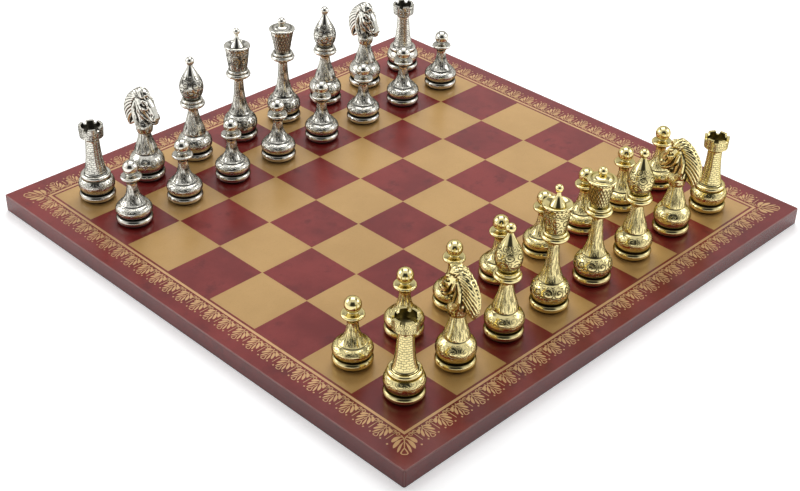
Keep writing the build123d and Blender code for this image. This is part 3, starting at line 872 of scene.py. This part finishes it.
# The men's meshes, one for each kind
ROYAL_TURNS = even(208)
ROUND_TURNS = even(128)
king_reliefs = {"cup": arches(count=22, depth=0.2), "rim": bead_row(count=20, depth=0.55)}
queen_reliefs = {
    "cup": lattice(count=20, slope=3.4, depth=0.14, boss=0.06),
    "rim": bead_row(count=28, depth=0.4),
}
shapes = {
    "king": turned(king(), ROYAL_TURNS, king_reliefs),
    "queen": turned(queen(), ROYAL_TURNS, queen_reliefs),
    "bishop": turned(bishop(), ROUND_TURNS, {}),
    "pawn": turned(pawn(), ROUND_TURNS, {}),
    "rook": turned(rook(), rook_turns(), {"wall": notched}),
    "knight": turned(knight_base(), ROUND_TURNS, {}),
}
meshes = {kind: build(kind, *shape) for kind, shape in shapes.items()}


def add_head(mesh):
    """The knight's head in the same mesh as its turned base."""
    verts, quads, dark, strands, uv = knight_head()
    values = np.stack([strands, np.zeros_like(dark), np.ones_like(dark), dark], axis=1)
    head = build("head", verts, quads, values, uv[quads.ravel()], sharp=180.0)
    shape = bmesh.new()
    shape.from_mesh(mesh)
    shape.from_mesh(head)
    shape.to_mesh(mesh)
    shape.free()
    bpy.data.meshes.remove(head)


add_head(meshes["knight"])


def pad_mesh():
    """A felt disc with a soft edge."""
    o, soft, top = Outline(), 0.2, PAD_THICKNESS
    flat = PAD_RADIUS - soft
    corners = [(0, 0), (flat, 0), (PAD_RADIUS, soft), (PAD_RADIUS, top - soft), (flat, top), (0, top)]
    for a, b in zip(corners, corners[1:]):
        o.run(line(a, b))
    return build("pad", *turned(o, even(64), {}))


def placed(name, data):
    """A new object in the scene."""
    made = bpy.data.objects.new(name, data)
    bpy.context.scene.collection.objects.link(made)
    return made


def show(name, mesh, place, facing=0.0):
    piece = placed(name, mesh)
    piece.matrix_world = Matrix.Translation(Vector(place) * MM) @ Matrix.Rotation(radians(facing), 4, "Z")
    return piece


pad = pad_mesh()
pad.materials.append(PAD_FELT)
metals = {"gold": GOLD, "silver": SILVER}
cast = {}
for side, metal in metals.items():
    for kind, mesh in meshes.items():
        cast[side, kind] = mesh.copy()
        cast[side, kind].name = f"{side}_{kind}_mesh"
        cast[side, kind].materials.append(metal)


# Three of the knights stand a little askew: degrees added to the way they face
KNIGHT_TURNS = {"gold_knight_g": 8.0, "silver_knight_b": 13.0, "silver_knight_g": 4.0}


def stand(side, kind, file, rank, label):
    """One man on its square, and the pad under it."""
    place = ((file + 0.5) * SQUARE - PLAY / 2, (rank + 0.5) * SQUARE - PLAY / 2, BOARD_TOP)
    facing = (0.0 if side == "gold" else 180.0) + KNIGHT_TURNS.get(label, 0.0)
    man = show(f"{label}_casting", cast[side, kind], place, facing)
    foot = show(f"{label}_felt", pad, place)
    for piece in (man, foot):
        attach(piece, label)
    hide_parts(label)
    if kind != "pawn":
        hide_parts(f"{label}_pad")


for side, home, row in (("gold", 0, 1), ("silver", 7, 6)):
    for file, kind in enumerate(OFFICERS):
        stand(side, kind, file, home, f"{side}_{kind}_{FILES[file]}" if kind in TWINS else f"{side}_{kind}")
    for file, letter in enumerate(FILES):
        stand(side, "pawn", file, row, f"{side}_pawn_{letter}")


# The foil border: strokes on the cover, drawn flat as (across, out) in millimetres
class Foil:
    """Flat strokes with thin sides, gathered into one mesh."""

    def __init__(self, height):
        self.height, self.verts, self.faces = height, [], []
        self.frame = lambda across, out: (across, out)

    def loop(self, outline):
        """A filled outline, fanned from its middle."""
        first, n = len(self.verts), len(outline)
        centre = tuple(np.mean(outline, axis=0))
        for z in (BOARD_TOP + self.height, BOARD_TOP - self.height):
            self.verts += [(*self.frame(*p), z) for p in outline]
        self.verts.append((*self.frame(*centre), BOARD_TOP + self.height))
        for i in range(n):
            j = (i + 1) % n
            self.faces.append((first + i, first + j, first + 2 * n))
            self.faces.append((first + n + i, first + n + j, first + j, first + i))

    def stroke(self, points, widths):
        """A ribbon along points, with its half width at each."""
        points = np.array(points, float)
        widths = np.broadcast_to(np.array(widths, float), len(points))
        run = np.gradient(points, axis=0)
        run /= np.linalg.norm(run, axis=1)[:, None]
        normal = np.stack([-run[:, 1], run[:, 0]], axis=1) * widths[:, None]
        left, right = points + normal, points - normal
        first, n = len(self.verts), len(points)
        for z in (BOARD_TOP + self.height, BOARD_TOP - self.height):
            self.verts += [(*self.frame(*p), z) for p in left]
            self.verts += [(*self.frame(*p), z) for p in right]
        for i in range(n - 1):
            a, b = first + i, first + n + i
            self.faces.append((a, a + 1, b + 1, b))
            self.faces.append((a + 2 * n, a + 1 + 2 * n, a + 1, a))
            self.faces.append((b, b + 1, b + 1 + 2 * n, b + 2 * n))
        for end in (0, n - 1):
            a, b = first + end, first + n + end
            self.faces.append((a, b, b + 2 * n, a + 2 * n))

    def dot(self, across, out, radius):
        self.loop([(across + radius * cos(t), out + radius * sin(t)) for t in even(12)])

    def leaf(self, root, bend, tip, widest):
        """A lobe that swells towards its round tip."""
        share = np.linspace(0, 1, 13)
        swell = widest * np.sqrt(np.clip(1 - ((share - 0.66) / 0.345) ** 2, 0, None))
        swell = np.where(share < 0.66, widest * (0.2 + 0.8 * smooth(share, 0.0, 0.66)), swell)
        self.stroke(bezier(root, bend, tip, steps=12), np.maximum(swell, 0.04))

    def palmette(self, long, out):
        """A palmette that starts at a distance out: arms, a trunk, a loop and three lobes on each side."""
        def at(across, up):
            return (across * long, out + up * long)
        self.stroke([at(0, 0.2), at(0, 0.45), at(0, 0.68)], np.array([0.026, 0.018, 0.016]) * long)
        ring = [(0, 0.66), (0.045, 0.73), (0.10, 0.85), (0.12, 0.92), (0.075, 0.965), (0, 0.975)]
        ring += [(-a, u) for a, u in ring[-2::-1]]
        self.stroke([at(*along(ring, t)) for t in np.linspace(0, 1, 25)], 0.021 * long)
        for hand in (-1, 1):
            arm = bezier(at(0.125 * hand, 0.0), at(0.05 * hand, 0.06), at(0, 0.24), steps=6)
            self.stroke(arm, 0.022 * long)
            self.leaf(at(0.06 * hand, 0.09), at(0.25 * hand, 0.07), at(0.43 * hand, 0.36), 0.082 * long)
            self.leaf(at(0.05 * hand, 0.2), at(0.22 * hand, 0.27), at(0.375 * hand, 0.66), 0.074 * long)
            self.leaf(at(0.035 * hand, 0.36), at(0.14 * hand, 0.5), at(0.235 * hand, 0.87), 0.046 * long)

    def rod(self, across, low, high, curl):
        """A thin rod with a pair of volutes at its inner end."""
        self.stroke([(across, low), (across, high)], 0.19)
        for hand in (-1, 1):
            turns = np.linspace(0, 1.25 * 2 * pi, 18)
            reach = curl * (1 - 0.62 * turns / turns[-1])
            centre = (across + hand * curl * 1.08, low + 0.1)
            coil = [(centre[0] - hand * r * cos(t), centre[1] - r * sin(t)) for r, t in zip(reach, turns)]
            stalk = [(across, low + 1.4), (across + 0.03 * hand, low + 0.7)]
            self.stroke([*stalk, *coil], np.linspace(0.24, 0.17, len(stalk) + len(coil)))


foil = Foil(0.045)
PITCH = 0.318 * SQUARE
ROD_INNER, ROD_OUTER, VOLUTE = 5.0, 11.9, 1.3
MOTIFS, MOTIF_START, MOTIF_LENGTH = 25, 4.0, 10.3
DOT_ACROSS, DOT_OUT, DOT_RADIUS = 3.65, 13.4, 0.5
CORNER_START, CORNER_LENGTH = 4.9, 14.4
CORNER_DOT_ACROSS, CORNER_DOT_OUT, CORNER_DOT_RADIUS = 8.5, 11.4, 0.55


def edge_frame(quarter):
    """A side's own (across, out): across runs from the side's first corner, out from the playing edge."""
    c, s = (1, 0, -1, 0)[quarter], (0, 1, 0, -1)[quarter]
    def place(across, out):
        x, y = across - PLAY / 2, -PLAY / 2 - out
        return (c * x - s * y, s * x + c * y)
    return place


def corner_frame(quarter):
    """A corner's own (across, out): out runs along the diagonal from the playing corner."""
    turn = radians(90 * quarter + 225)
    def place(across, out):
        corner = PLAY / 2 * sqrt(2)
        return (
            (corner + out) * cos(turn) - across * sin(turn),
            (corner + out) * sin(turn) + across * cos(turn),
        )
    return place


for quarter in range(4):
    edge = edge_frame(quarter)
    foil.frame = edge
    start = (PLAY - MOTIFS * PITCH) / 2
    for k in range(MOTIFS + 1):
        foil.rod(start + k * PITCH, ROD_INNER, ROD_OUTER, VOLUTE)
    for k in range(MOTIFS):
        middle = start + (k + 0.5) * PITCH
        foil.frame = lambda across, out: edge(middle + across, out)
        foil.palmette(MOTIF_LENGTH, MOTIF_START)
        for hand in (-1, 1):
            foil.dot(DOT_ACROSS * hand, DOT_OUT, DOT_RADIUS)
    foil.frame = corner_frame(quarter)
    foil.palmette(CORNER_LENGTH, CORNER_START)
    for hand in (-1, 1):
        foil.dot(CORNER_DOT_ACROSS * hand, CORNER_DOT_OUT, CORNER_DOT_RADIUS)

border_mesh = bpy.data.meshes.new("palmette_border")
border_mesh.from_pydata((np.array(foil.verts) * MM).tolist(), [], foil.faces)
tidy = bmesh.new()
tidy.from_mesh(border_mesh)
bmesh.ops.recalc_face_normals(tidy, faces=tidy.faces)
tidy.to_mesh(border_mesh)
tidy.free()
border_mesh.materials.append(LINE_FOIL)
border = placed("palmette_border", border_mesh)
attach(border, "board")


# The board's own nodes keep their meshes and take these materials
def dress(node, material):
    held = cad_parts[node].data
    held.materials.clear()
    held.materials.append(material)


dress("board_cover", LEATHER)
dress("board_core", fibreboard())
dress("board_backing", BACKING)
dress("gold_squares", FOIL)
dress("gold_line", LINE_FOIL)

# The camera, at the angle, distance and tilt worked out from the photograph, with lengths in squares
CAMERA_TURN = radians(-45.845)
CAMERA_RISE = radians(33.180)
CAMERA_ROLL = radians(1.409)
CAMERA_DISTANCE = 22.0916
CAMERA_TARGET = (-0.9651, -0.8939)
LENS = 64.072
back = Vector((sin(CAMERA_TURN) * cos(CAMERA_RISE), -cos(CAMERA_TURN) * cos(CAMERA_RISE), sin(CAMERA_RISE)))
right = (-back).cross(Vector((0, 0, 1))).normalized()
up = right.cross(-back)
right, up = right * cos(CAMERA_ROLL) + up * sin(CAMERA_ROLL), up * cos(CAMERA_ROLL) - right * sin(CAMERA_ROLL)
square = SQUARE * MM
target = Vector((CAMERA_TARGET[0] * square, CAMERA_TARGET[1] * square, BOARD_TOP * MM))
lens = bpy.data.cameras.new("camera")
lens.lens, lens.sensor_width, lens.sensor_fit = LENS, 36.0, "HORIZONTAL"
camera = placed("camera", lens)
axes = Matrix((right, up, back)).transposed().to_4x4()
camera.matrix_world = Matrix.Translation(target + back * CAMERA_DISTANCE * square) @ axes
bpy.context.scene.camera = camera


# The floor, white for the camera and in reflections, with the object's own soft shadow
FLOOR_HALF = 4.0
NEAR_GLOW, FAR_GLOW = 0.45, 0.8
GLOW_RISES_FROM, GLOW_RISES_TO = 0.5, 1.6


def floor_material():
    g = Material("floor")
    path = g.node("LightPath")
    seen = g.math("MAXIMUM", path.outputs["Is Camera Ray"], path.outputs["Is Glossy Ray"])
    seen = g.math("MAXIMUM", seen, path.outputs["Is Transmission Ray"])
    # Far off, where the lamps don't reach, it glows a little more and stays as white as near the board
    reach = g.node("VectorMath", {"operation": "LENGTH"})
    g.put(reach.inputs[0], g.spot())
    glow = g.blend(g.step(reach.outputs["Value"], GLOW_RISES_FROM, GLOW_RISES_TO), NEAR_GLOW, FAR_GLOW)
    return g.finish(
        Base_Color=(0.8, 0.8, 0.8),
        Roughness=1.0,
        Specular_IOR_Level=0.0,
        Emission_Color=(1.0, 1.0, 1.0),
        Emission_Strength=g.times(seen, glow),
    )


floor_mesh = bpy.data.meshes.new("floor")
floor_corners = [(FLOOR_HALF * x, FLOOR_HALF * y, 0) for x, y in ((-1, -1), (1, -1), (1, 1), (-1, 1))]
floor_mesh.from_pydata(floor_corners, [], [(0, 1, 2, 3)])
floor_mesh.materials.append(floor_material())
floor = placed("floor", floor_mesh)

# Soft light all round. In reflections the room is dark on the camera's side, from near the horizon to well
# up, and dimmer in a band above the white backdrop, which the polished metal and the board's gloss show.
ROOM_LIGHT = 0.24
CAMERA_SIDE_DARK = 0.96
ABOVE_BACKDROP_DARK = 0.7
world = bpy.data.worlds.new("studio")
bpy.context.scene.world = world
world.use_nodes = True
room = Graph(world.node_tree)
room.nodes.clear()
path = room.node("LightPath")
sky = room.node("TexCoord").outputs["Generated"]
rise = room.node("SeparateXYZ", Vector=sky).outputs["Z"]
dot = room.node("VectorMath", {"operation": "DOT_PRODUCT"})
room.put(dot.inputs[0], sky)
room.put(dot.inputs[1], Vector((back.x, back.y, 0)).normalized())
facing = dot.outputs["Value"]
level_part = room.math("SQRT", room.minus(1.0, room.times(rise, rise)))
heading = room.math("DIVIDE", facing, room.math("MAXIMUM", level_part, 0.01))


def band(rises, falls):
    """1 between two heights of the sky, with soft edges."""
    return room.times(room.step(rise, *rises), room.step(rise, *falls))


camera_side = room.times(room.step(heading, 0.64, 0.92), band((-0.05, 0.22), (0.95, 0.77)))
backdrop_side = room.times(room.step(facing, 0.1, -0.2), band((0.53, 0.66), (0.93, 0.80)))
camera_side = room.times(camera_side, CAMERA_SIDE_DARK)
dark = room.plus(camera_side, room.times(backdrop_side, ABOVE_BACKDROP_DARK))
reflected = room.minus(1.0, dark)
seen = room.math("MAXIMUM", path.outputs["Is Camera Ray"], path.outputs["Is Transmission Ray"])
strength = room.blend(seen, room.blend(path.outputs["Is Glossy Ray"], ROOM_LIGHT, reflected), 1.0)
shade = room.node("Background", Strength=strength)
room.put(room.node("OutputWorld").inputs["Surface"], shade.outputs[0])


def lamp(name, place, size, power):
    """A large soft lamp that looks at the middle of the board."""
    light = bpy.data.lights.new(name, "AREA")
    light.shape, light.size, light.size_y, light.energy = "RECTANGLE", *size, power
    made = placed(name, light)
    made.location = place
    made.rotation_euler = Vector(place).to_track_quat("Z", "Y").to_euler()
    return made


behind = lamp("behind", place=(0.75, 0.75, 0.95), size=(1.3, 0.9), power=17.5)
behind.visible_glossy = False
lamp("left", place=(-0.62, 0.78, 0.58), size=(0.6, 0.6), power=3.1)
lamp("right", place=(0.78, -0.62, 0.58), size=(0.6, 0.6), power=2.5)
lamp("above", place=(0.35, 0.35, 1.35), size=(1.0, 1.0), power=7.5)

bpy.context.scene.view_settings.view_transform = "Standard"
